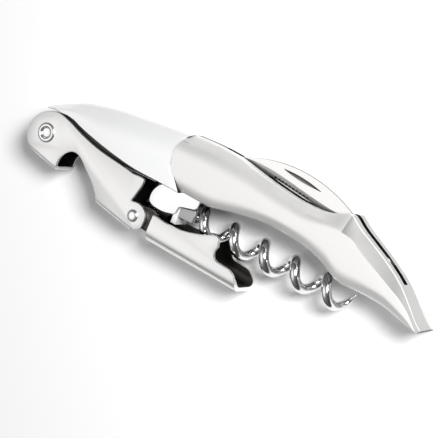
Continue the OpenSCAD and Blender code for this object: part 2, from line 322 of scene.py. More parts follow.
# Painted shade: a darker grey for the nail nicks, standing in for the shade in the hollow.
NICK_SHADE = Metal("nail_nick", grey(0.4, 0.003), grey(0.34, 0.003), 0.35, 0.08, (9000, 500, 9000))
BEVEL = Metal("blade_bevel", grey(0.7, 0.003), grey(0.58, 0.003), 0.42, 0.12, (9000, 500, 9000), 0, 1.5e-6)
SPRING = Metal("spring_steel", grey(0.4, -0.01), grey(0.3, -0.01), 0.3, 0.1, (900, 5000, 5000), 0)
BRASS = Metal("brass", (0.8, 0.62, 0.3), (0.66, 0.48, 0.22), 0.3, 0.1, (2500, 2500, 2500), 0)


# ---------------------------------------------------------------- shape tools


def arc(centre: Point, radius: float, start: float, stop: float, steps: int) -> list[Point]:
    """Points of an arc, in degrees, with both its ends."""
    angles = [math.radians(start + (stop - start) * i / steps) for i in range(steps + 1)]
    return [(centre[0] + radius * math.cos(a), centre[1] + radius * math.sin(a)) for a in angles]


def curve(points: Sequence[Point], steps: int) -> list[Point]:
    """A smooth line through points.

    Args:
        points: The points it passes through.
        steps: How many parts it has between neighbours.

    Returns:
        The points of the line, with both its ends.
    """
    line: list[Point] = []
    last = len(points) - 1
    for i in range(last):
        a, b, c, d = (Vector(points[min(max(i + k, 0), last)]) for k in (-1, 0, 1, 2))
        for k in range(steps):
            t = k / steps
            square, cube = 2 * a - 5 * b + 4 * c - d, 3 * b - a - 3 * c + d
            p = 0.5 * (2 * b + (c - a) * t + square * t * t + cube * t**3)
            line.append((p.x, p.y))
    return line + [tuple(points[-1])]


def rounded(corners: Sequence[Point], radii: Sequence[float], steps: int) -> list[Point]:
    """An open line with rounded inner corners.

    Args:
        corners: Its corners, with both its ends.
        radii: How far each corner is rounded. The ends' values are not used.
        steps: How many parts each rounding has.

    Returns:
        The points of the line.
    """
    line = [tuple(corners[0])]
    for i in range(1, len(corners) - 1):
        before, here, after = (Vector(corners[i + k]) for k in (-1, 0, 1))
        reach = min(radii[i], 0.48 * (before - here).length, 0.48 * (after - here).length)
        a = here + (before - here).normalized() * reach
        b = here + (after - here).normalized() * reach
        for k in range(steps + 1):
            t = k / steps
            p = a * (1 - t) ** 2 + here * 2 * t * (1 - t) + b * t * t
            line.append((p.x, p.y))
    return line + [tuple(corners[-1])]


@dataclass(frozen=True)
class Law:
    """A value that changes along x: a smooth line through a few given places."""

    places: tuple[Point, ...]

    def __call__(self, x: float) -> float:
        """The value at x.

        Args:
            x: The place.

        Returns:
            The value there; past either end, the value at that end.
        """
        places = self.places
        if x <= places[0][0]:
            return places[0][1]
        for i in range(len(places) - 1):
            (x0, y0), (x1, y1) = places[i], places[i + 1]
            if x <= x1:
                before = places[max(i - 1, 0)]
                after = places[min(i + 2, len(places) - 1)]
                m0 = (y1 - before[1]) / (x1 - before[0]) * (x1 - x0)
                m1 = (after[1] - y0) / (after[0] - x0) * (x1 - x0)
                t = (x - x0) / (x1 - x0)
                return ((2 * t**3 - 3 * t * t + 1) * y0 + (t**3 - 2 * t * t + t) * m0
                        + (3 * t * t - 2 * t**3) * y1 + (t**3 - t * t) * m1)
        return places[-1][1]


def joint_place(name: str) -> Vector:
    """Where a joint's axis crosses the middle plane, in metres."""
    found = next(j for j in frame["joints"] if j["name"] == name)
    return Vector(found["pos_m"])


@dataclass(frozen=True)
class Side:
    """The side view, in millimetres from the middle plane, and its place in the frame."""

    hinge: Point = (-56.9, -1.1)
    joint: Point = (-21.7, -9.6)
    worm: Point = (-15.2, -3.0)
    knife: Point = (46.4, 10.0)

    @property
    def origin(self) -> Vector:
        """The side view's origin in the frame, in metres."""
        return joint_place("upper_lever_hinge") - Vector((*self.hinge, 0)) * MM

    def matrix(self) -> Matrix:
        """Takes side-view millimetres to the frame."""
        return Matrix.Translation(self.origin) @ Matrix.Scale(MM, 4)


SIDE = Side()


def outline(bm: BMesh, points: Sequence[Point], z: float) -> BMFace:
    """A face through side-view points at one depth."""
    return bm.faces.new([bm.verts.new((x, y, z)) for x, y in points])


def thicken(bm: BMesh, face: BMFace, height: float) -> None:
    """Extrudes a face along Z into a closed plate.

    Args:
        bm: The mesh.
        face: The face, which stays as one side of the plate.
        height: How far it goes.
    """
    grown = bmesh.ops.extrude_face_region(bm, geom=[face], use_keep_orig=True)
    verts = [g for g in grown["geom"] if isinstance(g, BMVert)]
    bmesh.ops.translate(bm, verts=verts, vec=(0, 0, height))


def plate(points: Sequence[Point], low: float, high: float, round_off: float = 0.0) -> BMesh:
    """A flat plate of the side view with softened rims.

    Args:
        points: Its outline.
        low: Depth of its far face.
        high: Depth of its near face.
        round_off: Width of the bevel round both rims.

    Returns:
        The plate as a closed mesh.
    """
    bm = bmesh.new()
    thicken(bm, outline(bm, points, low), high - low)
    bmesh.ops.recalc_face_normals(bm, faces=bm.faces)
    if round_off:
        rims = [e for e in bm.edges if abs(e.verts[0].co.z - e.verts[1].co.z) < 1e-6]
        bevel(bm, rims, round_off, 3)
    return bm


def bevel(bm: BMesh, edges: Sequence[BMEdge], width: float, segments: int) -> None:
    """Rounds edges off.

    Args:
        bm: The mesh.
        edges: Its edges that are rounded.
        width: How far the rounding reaches from each edge.
        segments: How many parts it has.
    """
    bmesh.ops.bevel(
        bm, geom=list(edges), offset=width, offset_type="OFFSET", segments=segments, profile=0.5,
        affect="EDGES", clamp_overlap=True, material=-1,
    )


def loop_of(bm: BMesh, points: Sequence[Vector]) -> list[BMEdge]:
    """A closed edge loop through points.

    Args:
        bm: The mesh it goes into.
        points: Its points, in order.

    Returns:
        Its edges.
    """
    verts = [bm.verts.new(p) for p in points]
    return [bm.edges.new(pair) for pair in zip(verts, verts[1:])] + [bm.edges.new((verts[-1], verts[0]))]


def loft(bm: BMesh, sections: Sequence[Sequence[Vector]]) -> None:
    """Skins a row of closed sections and closes both ends.

    Args:
        bm: The mesh it goes into.
        sections: The sections, all with the same number of points.
    """
    loops = [loop_of(bm, section) for section in sections]
    for one, two in zip(loops, loops[1:]):
        bmesh.ops.bridge_loops(bm, edges=one + two)
    for end in (loops[0], loops[-1]):
        bmesh.ops.contextual_create(bm, geom=end)
    bmesh.ops.recalc_face_normals(bm, faces=bm.faces)


def spun(profile: Sequence[Point], centre: Point, steps: int = 64) -> BMesh:
    """A round piece about an axis along Z.

    Args:
        profile: Radius and height of each point of half its section, from axis to axis.
        centre: The axis in the side view.
        steps: Facets round the axis.

    Returns:
        The closed mesh.
    """
    bm = bmesh.new()
    verts = [bm.verts.new((centre[0] + r, centre[1], z)) for r, z in profile]
    edges = [bm.edges.new(pair) for pair in zip(verts, verts[1:])]
    bmesh.ops.spin(
        bm, geom=verts + edges, cent=(*centre, 0), axis=(0, 0, 1), angle=math.tau, steps=steps,
        use_merge=True,
    )
    bmesh.ops.remove_doubles(bm, verts=bm.verts, dist=1e-4)
    bmesh.ops.recalc_face_normals(bm, faces=bm.faces)
    return bm


def swept(path: Sequence[Vector], sides: Sequence[Vector], radii: Sequence[float], facets: int) -> BMesh:
    """A round wire along a path, closed at both ends.

    Args:
        path: Centre points.
        sides: A direction across the wire at each point, which keeps it from twisting.
        radii: The wire's radius at each point.
        facets: Sides of its section.

    Returns:
        The closed mesh.
    """
    bm = bmesh.new()
    ring = bmesh.ops.create_circle(bm, segments=facets, radius=1.0)["verts"]
    flat = [v.co.copy() for v in ring]
    edges = list({e for v in ring for e in v.link_edges})
    last = len(path) - 1
    for i, centre in enumerate(path):
        if i:
            grown = bmesh.ops.extrude_edge_only(bm, edges=edges)["geom"]
            ring = [g for g in grown if isinstance(g, BMVert)]
            edges = [g for g in grown if isinstance(g, BMEdge)]
        ahead = (path[min(i + 1, last)] - path[max(i - 1, 0)]).normalized()
        across = (sides[i] - ahead * sides[i].dot(ahead)).normalized()
        third = ahead.cross(across)
        for vert, co in zip(ring, flat):
            vert.co = centre + radii[i] * (co.x * across + co.y * third)
    bmesh.ops.holes_fill(bm, edges=bm.edges, sides=facets)
    bmesh.ops.recalc_face_normals(bm, faces=bm.faces)
    return bm


def combine(target: bpy.types.Object, tool: BMesh, way: Combining) -> None:
    """Combines a piece with a second closed mesh.

    Args:
        target: The piece.
        tool: The second mesh, in side-view millimetres. It is used up.
        way: What it does to the piece.
    """
    other = finished("tool", tool)
    modifier = target.modifiers.new("combine", "BOOLEAN")
    modifier.operation = way.value
    modifier.solver = "EXACT"
    modifier.object = other
    settle(target)
    bpy.data.objects.remove(other)


def cut(target: bpy.types.Object, tool: BMesh) -> None:
    """Takes a tool's volume out of a piece."""
    combine(target, tool, Combining.CUT)


def weld(target: bpy.types.Object, tool: BMesh) -> None:
    """Adds a second closed mesh to a piece."""
    combine(target, tool, Combining.WELD)


def bore(target: bpy.types.Object, centre: Point, radius: float, low: float, high: float) -> None:
    """Drills a round hole along Z between two depths."""
    cut(target, plate(arc(centre, radius, 0, 354, 59), low, high))


def settle(piece: bpy.types.Object) -> None:
    """Applies all of a piece's modifiers to its mesh.

    Args:
        piece: The piece.
    """
    graph = bpy.context.evaluated_depsgraph_get()
    mesh = bpy.data.meshes.new_from_object(piece.evaluated_get(graph))
    piece.modifiers.clear()
    piece.data = mesh


def finished(name: str, bm: BMesh) -> bpy.types.Object:
    """Turns a mesh into an object in the frame, and frees the mesh.

    Args:
        name: The object's name.
        bm: The mesh, in side-view millimetres.

    Returns:
        The object.
    """
    bm.transform(SIDE.matrix())
    mesh = bpy.data.meshes.new(name)
    bm.to_mesh(mesh)
    bm.free()
    made = bpy.data.objects.new(name, mesh)
    bpy.context.scene.collection.objects.link(made)
    return made


def smooth(piece: bpy.types.Object, angle: float = 32.0) -> None:
    """Shades a piece smooth apart from its sharp edges.

    Args:
        piece: The piece.
        angle: Sharpness above which an edge stays hard, in degrees.
    """
    mesh = piece.data
    mesh.shade_smooth()
    mesh.set_sharp_from_angle(angle=math.radians(angle))


@dataclass
class Piece:
    """A visible piece: its object and what stands behind it."""

    name: str
    body: Body
    slot: Slot
    stands_for: tuple[str, ...]

    def add(
        self, bm: BMesh, finishes: Sequence[bpy.types.Material], angle: float = 32.0,
    ) -> bpy.types.Object:
        """Finishes a mesh as this piece, dresses it and lets it ride.

        Args:
            bm: The mesh, in side-view millimetres.
            finishes: Its materials, in slot order.
            angle: Sharpness above which an edge stays hard, in degrees.

        Returns:
            The object.
        """
        made = finished(self.name, bm)
        for finish in finishes:
            made.data.materials.append(finish)
        smooth(made, angle)
        return self.enlist(made)

    def enlist(self, made: bpy.types.Object) -> bpy.types.Object:
        """Tells the frame what the piece is.

        Args:
            made: The piece's object.

        Returns:
            The same object.
        """
        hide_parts(*self.stands_for)
        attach(made, self.body.value)
        log.info("%s: %d faces on %s", self.name, len(made.data.polygons), self.body.value)
        return made


# ---------------------------------------------------------------- handle


@dataclass
class Seam:
    """The curved joint line between the bolster and the grip, as x along the height."""

    gap: float = 0.0
    line: Law = Law((
        (1.6, -10.6), (2.2, -11.2), (3.7, -12.8), (5.8, -15.1), (8.2, -16.6), (10.7, -17.3), (13.6, -17.2),
        (15.8, -16.5), (17.5, -14.8), (18.4, -13.6),
    ))

    def x(self, y: float) -> float:
        """Where the seam is at a height."""
        return self.line(y) + self.gap


@dataclass
class Shell:
    """A cast part lofted along the handle from closed sections."""

    seam: Seam = field(default_factory=Seam)
    top: Law = Law(((0, 1), (1, 1)))
    bottom: Law = Law(((0, 0), (1, 0)))

    def corners(self, x: float) -> tuple[list[Point], list[float]]:
        """Half a section, from the middle of the back to the middle of the belly.

        Args:
            x: Where it stands.

        Returns:
            Its corners, as height and depth, and how far each is rounded.
        """
        raise NotImplementedError

    def section(self, x: float, toward_seam: float) -> list[Vector]:
        """One closed section.

        Args:
            x: Where it stands.
            toward_seam: 1 where it lies on the seam, 0 where it is square to the handle.

        Returns:
            Its points, all round.
        """
        corners, radii = self.corners(x)
        half = rounded(corners, radii, 8)
        points = half + [(y, -z) for y, z in reversed(half[1:-1])]
        low, high = self.bottom(x), self.top(x)
        placed = []
        for y, z in points:
            share = (y - low) / (high - low)
            at_x, at_y = x, y
            for _ in range(4):
                at_x = x + toward_seam * (self.seam.x(at_y) - x)
                at_y = self.bottom(at_x) + share * (self.top(at_x) - self.bottom(at_x))
            placed.append(Vector((at_x, at_y, z)))
        return placed


@dataclass
class Bolster(Shell):
    """Satin front bolster: a rounded hood over the upper lever, and the tongue that the lever hinges on."""

    top: Law = Law((
        (-59.7, 6.0), (-56, 8.1), (-50, 11.1), (-45.5, 12.4), (-38.7, 14.0), (-29, 15.5), (-20, 16.7),
        (-13.4, 17.4), (-7.8, 17.8),
    ))
    bottom: Law = Law((
        (-59.7, 5.2), (-57, 5.8), (-54, 5.6), (-51.5, 5.9), (-46, 4.6), (-39, 3.4), (-32, 2.5), (-26, 2.0),
        (-18.4, 2.1), (-10, 2.1),
    ))
    half_width: Law = Law(((-60, 4.6), (-50, 5.0), (-35, 5.8), (-22, 5.95), (-10, 6.0)))
    tongue_half: float = 3.4
    pin_hole: float = 2.06
    stations: tuple[float, ...] = (
        -59.6, -59.2, -58.4, -57, -55, -52.5, -50, -47, -44, -41, -38, -35, -32, -29, -26, -23.5, -21.5,
    )

    def corners(self, x: float) -> tuple[list[Point], list[float]]:
        """Half of a round-backed section with a crisp lower edge.

        Args:
            x: Where it stands.

        Returns:
            Its corners, as height and depth, and how far each is rounded.
        """
        high, low, half = self.top(x), self.bottom(x), self.half_width(x)
        tall = high - low
        drop = min(5.6, 0.6 * tall)
        corners = [(high, 0), (high, 0.48 * half), (high - drop, half), (low, half - 0.05), (low, 0)]
        return corners, [0, min(3.2, 0.7 * drop), min(4.0, 0.8 * drop), 0.35, 0]

    def build(self) -> None:
        """Makes the bolster."""
        bm = bmesh.new()
        sections = [self.section(x, 0) for x in self.stations]
        sections += [self.section(self.stations[-1], share) for share in (0.35, 0.7, 1.0)]
        loft(bm, sections)
        piece = Piece("bolster", Body.HANDLE, Slot.SATIN, ("bolster",))
        made = piece.add(bm, [SATIN.make(), SHADE_BLACK.make()], 40)
        weld(made, self.tongue())
        # Painted shade: the tongue's sides between the lever plates, the faces looking down under the
        # bolster and its end at the seam take the near-black second material.
        for face in made.data.polygons:
            depth = abs(face.center.z - SIDE.origin.z) / MM
            on_tongue = abs(depth - self.tongue_half) < TOUCH and abs(face.normal.z) > SQUARE
            face.material_index = int(on_tongue or face.normal.y < -0.4 or face.normal.x > 0.9)
        bore(made, SIDE.hinge, self.pin_hole, -ACROSS, ACROSS)
        smooth(made, 40)

    def tongue(self) -> BMesh:
        """The hinge tongue between the lever's plates.

        Returns:
            Its closed mesh.
        """
        nose = arc(SIDE.hinge, 5.3, 118, 300, 20)
        under = curve([(-52.6, -3.2), (-50.5, 0.2), (-46, 1.2), (-32, 0.6), (-20, 1.2)], 4)
        points = nose + under + [(-19.5, 8), (-50, 8)]
        return plate(points, -self.tongue_half, self.tongue_half, 0.3)


@dataclass
class Grip(Shell):
    """Brushed cast shell: flat back, crisp ridges, full sides, and a cut-off tail."""

    top: Law = Law((
        (-18, 17.2), (-14.8, 17.4), (-7.8, 17.9), (-1.8, 17.9), (1.3, 17.7), (6.6, 16.8), (11.4, 16.1),
        (16.8, 15.5), (21.7, 15.2), (28.2, 15.7), (33.2, 17.6), (35.2, 18.2), (38.9, 16.1), (43.6, 14.0),
        (48.9, 11.5), (54.2, 8.4), (58.1, 5.2), (61.5, 2.1), (63.8, 0.6),
    ))
    bottom: Law = Law((
        (-18, 2.1), (-11.2, 2.1), (-2.1, 2.2), (3.8, 3.5), (8.2, 4.5), (14.1, 5.4), (20.3, 5.6),
        (26.7, 5.2), (33, 3.8), (38.3, 1.5), (45.6, 1.7), (52.4, 1.6), (58, 0.7), (61.6, 0.4), (63.8, 0.2),
    ))
    ridge: Law = Law((
        (-18, 13.6), (-8.5, 14.0), (-1.5, 14.1), (5.9, 13.6), (13.2, 12.8), (20.2, 12.3), (26.7, 12.8),
        (31.9, 13.5), (38, 13.2), (42, 11.4), (45.7, 9.8), (49.3, 8.3), (52.9, 6.8), (56.5, 5.2),
        (59.5, 3.3), (62.0, 1.2), (63.0, 0.5), (63.8, 0.3),
    ))
    edge_round: Law = Law(((-18, 1.6), (0, 1.4), (12, 0.6), (30, 0.25), (64, 0.25)))
    back_half: Law = Law(((-18, 1.6), (0, 2.0), (10, 3.0), (28, 3.0), (35, 3.7), (50, 3.5), (64, 4.0)))
    softness: Law = Law(((-18, 3.4), (0, 3.0), (20, 2.2), (31, 0.9), (36, 0.25), (64, 0.2)))

    # The last two finishes are painted shade: a darker grey on the tail, near-black on the walls and the
    # seam end.
    finishes: tuple[Metal, ...] = (BRUSHED, SHADED_FACET, SHADE_BLACK)
    cavity_half: float = 4.45
    slot_half: float = 1.1
    seam_station: float = -9.0
    tail: float = 35.2
    stations: tuple[float, ...] = (
        *range(-9, 32, 2), 33.2, 34.4, 35.2, 35.7, 36.4, 38, 40, 42, 44.5, 47, 49.5, 52, 54.5, 57, 59, 60.8,
        62.2, 63.2, 63.7,
    )

    def corners(self, x: float) -> tuple[list[Point], list[float]]:
        """Half a section: back, band, crowned side and rounded belly edge.

        Args:
            x: Where it stands.

        Returns:
            Its corners, as height and depth, and how far each is rounded.
        """
        high, low, ridge, soft = self.top(x), self.bottom(x), self.ridge(x), self.softness(x)
        tall = ridge - low
        under = min(2.6, 0.45 * tall)
        corners = [(high, 0), (high, self.back_half(x)), (ridge, 5.93), (low + 0.55 * tall, 6.0),
                   (low + under, 5.9), (low, 5.9 - 0.6 * under), (low, 0)]
        return corners, [0, self.edge_round(x), soft, 3.0, 0.5 * under, 0.5 * under, 0]

    def build(self) -> None:
        """Makes the shell, then opens its belly and its knife slot."""
        bm = bmesh.new()
        sections = [self.section(self.seam_station, share) for share in (1.0, 0.7, 0.35)]
        sections += [self.section(x, 0) for x in self.stations]
        loft(bm, sections)
        made = finished("grip_shell", bm)
        for finish in self.finishes:
            made.data.materials.append(finish.make())
        cut(made, plate(self.cavity(), -self.cavity_half, self.cavity_half))
        cut(made, plate(self.knife_slot(), -self.slot_half, self.slot_half))
        self.dress(made)
        smooth(made, 34)
        Piece("grip_shell", Body.HANDLE, Slot.BRUSHED, ("grip_shell",)).enlist(made)

    @staticmethod
    def cavity() -> list[Point]:
        """Side view of the room within, open along the belly."""
        top = [(-22, 14.9), (-3, 15.1), (8, 14.4), (14, 13.65), (27, 13.4), (35, 15.9), (45, 12.2)]
        tail = [(54.6, 6.0), (60.3, 2.1), (52, 2.75), (44, 2.95), (38.2, 3.0)]
        return top + tail + [(38.2, -6), (-22, -6)]

    @staticmethod
    def knife_slot() -> list[Point]:
        """Side view of the slot along the back, which the knife folds into."""
        return [(-5.6, 10), (-5.6, 25), (40, 25), (58, 12), (54.3, 8.4), (50, 4.4), (30, 8)]

    def dress(self, made: bpy.types.Object) -> None:
        """Paints shade on the cut-off tail, and on the walls of the two openings and the end at the seam.

        Args:
            made: The shell.
        """
        shaded_facet, black_shade = self.finishes.index(SHADED_FACET), self.finishes.index(SHADE_BLACK)
        for face in made.data.polygons:
            middle = (face.center - SIDE.origin) / MM
            depth = abs(middle.z)
            on_side = min(abs(depth - self.slot_half), abs(depth - self.cavity_half)) < TOUCH
            wall = on_side and abs(face.normal.z) > SQUARE
            at_seam = middle.x < -8 and face.normal.x < -0.6
            on_tail = middle.x > self.tail and middle.y > self.ridge(middle.x) and face.normal.y > 0.25
            # Painted shade: the walls of the belly opening and the knife slot, and the end at the seam,
            # take the near-black material.
            if wall or depth < self.slot_half or at_seam:
                face.material_index = black_shade
            # Painted shade and highlight: the tail's facet and band take the darker grey, while the
            # rounding along the facet's near edge keeps the brushed grey as a painted highlight line.
            elif on_tail and abs(depth - self.back_half(middle.x)) > 0.2:
                face.material_index = shaded_facet


@dataclass
class Liners:
    """The two polished liners within the grip."""

    gap: float = 6.8
    thick: float = 1.0
    rim: float = 0.12
    rivet_hole: float = 1.0
    pin_hole: float = 1.1
    rivets: tuple[Point, ...] = ((-12.4, 12.6), (-11, 6.6), (1.5, 9.6), (55.4, 4.6))

    @staticmethod
    def outline() -> list[Point]:
        """Side view of a liner with the ear that carries the worm.

        Returns:
            Its outline.
        """
        back = curve([
            (-13.8, 14.7), (-3, 15.0), (8, 14.3), (14, 13.5), (27, 13.2), (35, 15.6), (45, 12.0),
            (46.6, 11.35), (48, 10.4), (54.4, 5.8), (60, 2.0),
        ], 4)
        belly = curve([
            (52, 2.9), (44, 3.1), (38.5, 3.4), (31, 6.2), (21, 7.1), (12, 6.6), (4, 4.6), (-3.4, 3.5),
        ], 4)
        front = [
            (-4.9, 2.8), (-4.8, 1.2), (-5, 0.5), (-5.6, -0.1), (-9.7, -1.2), (-10.1, -1.6), (-10.4, -3.4),
        ]
        ear = curve([
            (-11, -3.9), (-14, -4.6), (-16.8, -4.6), (-18.4, -4.2), (-19.2, -3.3), (-19.3, -1.4),
            (-18.6, 0.4), (-17.4, 1.8), (-15.2, 2.7),
        ], 3)
        return back + belly + front + ear

    def build(self) -> None:
        """Makes both liners, each with a softened rim and its holes."""
        low, high = self.gap / 2, self.gap / 2 + self.thick
        holes = [(centre, self.rivet_hole) for centre in self.rivets]
        holes += [(SIDE.worm, self.pin_hole), (SIDE.knife, self.pin_hole)]
        for name, span in (("liner_near", (low, high)), ("liner_far", (-high, -low))):
            bm = plate(self.outline(), *span, self.rim)
            made = Piece(name, Body.HANDLE, Slot.POLISHED, (name,)).add(bm, [POLISHED.make()])
            for centre, radius in holes:
                bore(made, centre, radius, span[0] - 1, span[1] + 1)
            smooth(made)


# ---------------------------------------------------------------- levers


@dataclass
class FoldedSheet:
    """A lever pressed from sheet: a flat blank is cut, its rims are broken, and it is folded."""

    start: Point
    slope: float
    half: float
    sheet: float
    bend: float
    rim: float = 0.2

    @property
    def web(self) -> float:
        """Half the flat width between the bends."""
        return self.half - self.bend

    @property
    def quarter(self) -> float:
        """Length of a bend on the blank, measured outside."""
        return self.bend * math.pi / 2

    def along(self) -> tuple[Vector, Vector]:
        """Directions along the fold line and up the plates."""
        a = Vector((1, self.slope)).normalized()
        return a, Vector((-a.y, a.x))

    def unfold(self, point: Point) -> Point:
        """Where a side-view point is on the blank.

        Args:
            point: The point.

        Returns:
            Its place along the fold line and across it.
        """
        a, up = self.along()
        offset = Vector(point) - Vector(self.start)
        height = max(offset.dot(up), 0.0)
        if height < self.bend:
            return offset.dot(a), self.web + self.bend * math.acos(1 - height / self.bend)
        return offset.dot(a), self.web + self.quarter + height - self.bend

    def fold(self, co: Vector) -> Vector:
        """Takes a point of the blank to the folded channel.

        Args:
            co: Its place along, across and through the sheet.

        Returns:
            Its place in side-view millimetres.
        """
        a, up = self.along()
        s, n = co.y, co.z
        if s <= self.web:
            depth, height = s, n
        elif s < self.web + self.quarter:
            turn = (s - self.web) / self.bend
            depth = self.web + (self.bend - n) * math.sin(turn)
            height = self.bend - (self.bend - n) * math.cos(turn)
        else:
            depth = self.half - n
            height = s - self.web - self.quarter + self.bend
        flat = Vector(self.start) + a * co.x + up * height
        return Vector((flat.x, flat.y, depth))

    def press(
        self,
        blank: Sequence[Point],
        after: Callable[[Vector], Vector] | None = None,
        creases: Sequence[float] = (),
    ) -> BMesh:
        """Cuts, breaks and folds one half, and mirrors it.

        Args:
            blank: Outline of half the blank, along and across.
            after: A last forming step on each folded point.
            creases: Places along the blank where the last step bends it.

        Returns:
            The channel, with its inner faces in the second material, which is near-black painted shade.
        """
        bm = bmesh.new()
        thicken(bm, outline(bm, blank, 0), self.sheet)
        bmesh.ops.recalc_face_normals(bm, faces=bm.faces)
        bmesh.ops.dissolve_degenerate(bm, dist=1e-4, edges=bm.edges)
        # Painted shade: faces on the inner side of the sheet take the near-black second material.
        for face in bm.faces:
            face.material_index = int(min(v.co.z for v in face.verts) > 0.99 * self.sheet)
        rims = [e for e in bm.edges if abs(e.verts[0].co.z - e.verts[1].co.z) < 1e-6
                and max(v.co.y for v in e.verts) > 1e-3]
        bevel(bm, rims, self.rim, 2)
        bends = [((0, self.web + self.quarter * k / 8, 0), (0, 1, 0)) for k in range(9)]
        for place, normal in bends + [((a, 0, 0), (1, 0, 0)) for a in creases]:
            everything = bm.verts[:] + bm.edges[:] + bm.faces[:]
            bmesh.ops.bisect_plane(bm, geom=everything, plane_co=place, plane_no=normal, dist=1e-5)
        middle = [f for f in bm.faces if all(abs(v.co.y) < 1e-4 for v in f.verts)]
        bmesh.ops.delete(bm, geom=middle, context="FACES")
        for vert in bm.verts:
            vert.co = self.fold(vert.co)
            if after:
                vert.co = after(vert.co)
        bmesh.ops.mirror(bm, geom=bm.verts[:] + bm.edges[:] + bm.faces[:], axis="Z", merge_dist=0.001)
        bmesh.ops.recalc_face_normals(bm, faces=bm.faces)
        return bm


@dataclass
class UpperLever(FoldedSheet):
    """First-step lever: two plates joined by a lip under the head and a web under the heel."""

    start: Point = (-50.2, -9.2)
    slope: float = -0.155
    half: float = 4.8
    sheet: float = 1.1
    bend: float = 1.2
    hinge_hole: float = 2.0
    joint_hole: float = 1.2

    def blank(self) -> list[Point]:
        """Half the blank.

        Returns:
            Its outline, along the fold line and across it.
        """
        back = curve([
            (-61.1, -6.3), (-61.9, -5.6), (-62.8, -4.2), (-63.2, -2.5), (-63.0, -0.4), (-62.1, 1.7),
            (-60.7, 3.4), (-58.6, 4.7), (-55.7, 5.5), (-53.4, 5.3), (-50.5, 4.6), (-46.2, 3.3),
            (-40.4, 2.0), (-35.2, 1.4), (-29.0, 0.9), (-26.6, 0.6), (-24.8, 0.8),
        ], 4)
        corner = [(-23.6, 0.8)] + arc((-23.2, 0.2), 0.6, 80, 0, 4)
        drop = curve([(-22.6, -1.0), (-23.5, -4.6), (-24.0, -6.0)], 3)[:-1]
        eye = [(-24.0, -6.2)] + arc(SIDE.joint, 3.75, 108, -42, 16) + [(-20.0, -12.9), (-21.6, -13.5)]
        web_near, web_far = self.unfold((-25.4, -13.0))[0], self.unfold((-33.4, -11.8))[0]
        web = [(web_near + 0.5, self.web + 0.4 * self.quarter), (web_near, self.web - 0.3), (web_near, 0),
               (web_far, 0), (web_far, self.web - 0.6)]
        belly = curve([(-34.8, -9.9), (-37.8, -6.9), (-40.9, -4.7), (-42.9, -3.2), (-44.6, -2.3)], 4)
        notch = curve([
            (-45.8, -2.1), (-47.1, -2.4), (-48.2, -3.0), (-49.2, -4.0), (-50.0, -5.5), (-50.2, -7.0),
            (-50.2, -8.2),
        ], 3)
        lip_near, lip_far = self.unfold((-50.0, -9.2))[0], self.unfold((-57.0, -8.2))[0]
        lip = [(lip_near, self.web), (lip_near - 0.1, 0), (lip_far, 0), (lip_far, self.web)]
        upper = [self.unfold(p) for p in back + corner + drop + eye]
        lower = [self.unfold(p) for p in belly + notch]
        return upper + web + lower + lip + [self.unfold((-60.2, -7.1))]

    def build(self) -> None:
        """Makes the lever."""
        bm = self.press(self.blank())
        piece = Piece("upper_lever", Body.UPPER, Slot.LEVER, ("upper_lever",))
        # The second material is near-black painted shade on the channel's inner faces.
        made = piece.add(bm, [LEVER.make(), SHADE_BLACK.make()], 30)
        bore(made, SIDE.hinge, self.hinge_hole, -ACROSS, ACROSS)
        bore(made, SIDE.joint, self.joint_hole, -ACROSS, ACROSS)
        smooth(made, 30)


@dataclass
class LowerLever(FoldedSheet):
    """Second-step lever: a deep channel with the claw at one end and two pinched ears at the other."""

    start: Point = (-15.5, -13.9)
    slope: float = 0.0
    half: float = 6.0
    sheet: float = 1.2
    bend: float = 3.2
    ear_half: float = 3.6
    ear_end: float = -15.4
    shoulder: float = 2.4
    creases: tuple[float, ...] = (0.0, 0.12)

    def blank(self) -> list[Point]:
        """Half the blank.

        Returns:
            Its outline, along the fold line and across it.
        """
        shoulder = [
            (-21.7, -7.1), (-22.6, -6.9), (-21.2, -6.4), (-19.2, -6.0), (-17.6, -5.9), (-16.3, -6.4),
        ]
        back = curve([(-14.4, -6.35), (-11.2, -6.6), (-6.3, -6.3), (-0.4, -4.7), (3.4, -2.95)], 4)
        horn = arc((4.1, -3.9), 1.0, 75, 15, 3)
        step = curve([(5.7, -5.4), (5.25, -6.7), (5.4, -7.8), (6.0, -8.6), (7.0, -9.0)], 3)
        claw = curve([(10.0, -9.15), (11.7, -9.4), (13.2, -10.5), (14.1, -11.8), (14.5, -13.2)], 3)
        front = [(30.1, self.web - 0.3), (30.1, 0), (0.05, 0), (0.05, self.web)]
        ear = [(-15.5, -12.6), (-18.0, -12.0)] + arc(SIDE.joint, 2.5, -80, -230, 8)
        upper = [self.unfold(p) for p in shoulder + back + horn + step + claw]
        return upper + front + [self.unfold(p) for p in ear]

    def pinch(self, co: Vector) -> Vector:
        """Sets the ears in, close together, in front of the channel.

        Args:
            co: A point of the folded channel.

        Returns:
            Its place after the step.
        """
        in_ear = co.x < self.ear_end - 0.05 and co.z > self.half - self.shoulder
        inward = self.half - self.ear_half if in_ear else 0.0
        return Vector((co.x, co.y, co.z - inward))

    def build(self) -> None:
        """Makes the lever."""
        bm = self.press(self.blank(), self.pinch, self.creases)
        # Painted shade: the pinched ears' outer faces, set in under the upper lever, take the near-black
        # second material too.
        for face in bm.faces:
            middle = face.calc_center_median()
            in_ear = middle.x < self.ear_end and abs(middle.z) < self.ear_half + 0.1
            if in_ear and abs(face.normal.z) > 0.9:
                face.material_index = 1
        piece = Piece("lower_lever", Body.LOWER, Slot.LEVER, ("lower_lever",))
        piece.add(bm, [LEVER.make(), SHADE_BLACK.make()], 30)


